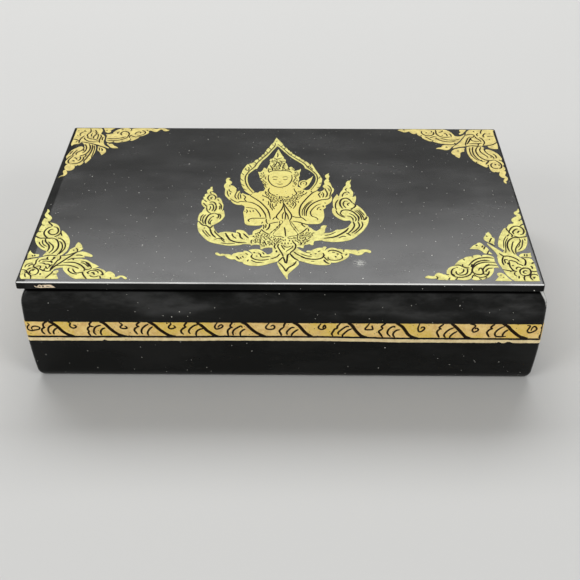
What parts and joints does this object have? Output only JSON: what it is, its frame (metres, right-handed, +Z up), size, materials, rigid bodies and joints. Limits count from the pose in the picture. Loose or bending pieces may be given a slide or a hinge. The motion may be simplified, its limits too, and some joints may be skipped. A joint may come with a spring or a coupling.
{
  "type": "lacquered trinket box",
  "caption": "Low rectangular lacquered wooden box with gently bulged sides, a flat overhanging lid on hidden hinges, felt lining and gold leaf ornament.",
  "frame": {"origin": "middle of the face that the box stands on, under the middle of the case", "axes": "+X along the front towards the right, +Y from the front to the hinges at the back, +Z up"},
  "size_m": [0.2054, 0.1288, 0.0486],
  "materials": {
    "case_lacquer": "black lacquer on wood, glossy with fine dust and scratches",
    "lid_lacquer": "black lacquer on wood, glossy, hazed by wear",
    "base_lacquer": "black lacquer on plywood, satin",
    "lining_felt": "short red felt",
    "base_felt": "thin black felt",
    "brass": "plain brass, lightly tarnished",
    "gold_leaf": "gold leaf on lacquer, soft sheen"
  },
  "bodies": {
    "case": {"front_wall": "case_lacquer", "back_wall": "case_lacquer", "left_wall": "case_lacquer", "right_wall": "case_lacquer", "bottom_panel": "base_lacquer", "base_felt": "base_felt", "floor_felt": "lining_felt", "front_lining": "lining_felt", "back_lining": "lining_felt", "left_lining": "lining_felt", "right_lining": "lining_felt", "hinge_left_case_leaf": "brass", "hinge_right_case_leaf": "brass", "hinge_left_pin": "brass", "hinge_right_pin": "brass", "case_screws": "brass", "gilt_band": "gold_leaf", "gilt_line": "gold_leaf"},
    "lid": {"lid_panel": "lid_lacquer", "lid_felt": "lining_felt", "hinge_left_lid_leaf": "brass", "hinge_right_lid_leaf": "brass", "lid_screws": "brass", "gilt_corner_front_left": "gold_leaf", "gilt_corner_front_right": "gold_leaf", "gilt_corner_back_left": "gold_leaf", "gilt_corner_back_right": "gold_leaf", "gilt_figure": "gold_leaf"}
  },
  "joints": [
    {"name": "lid_hinge", "type": "hinge", "parent": "case", "child": "lid", "pos_m": [0, 0.0623, 0.0453], "axis": [-1, 0, 0], "range_deg": [0, 108]}
  ]
}
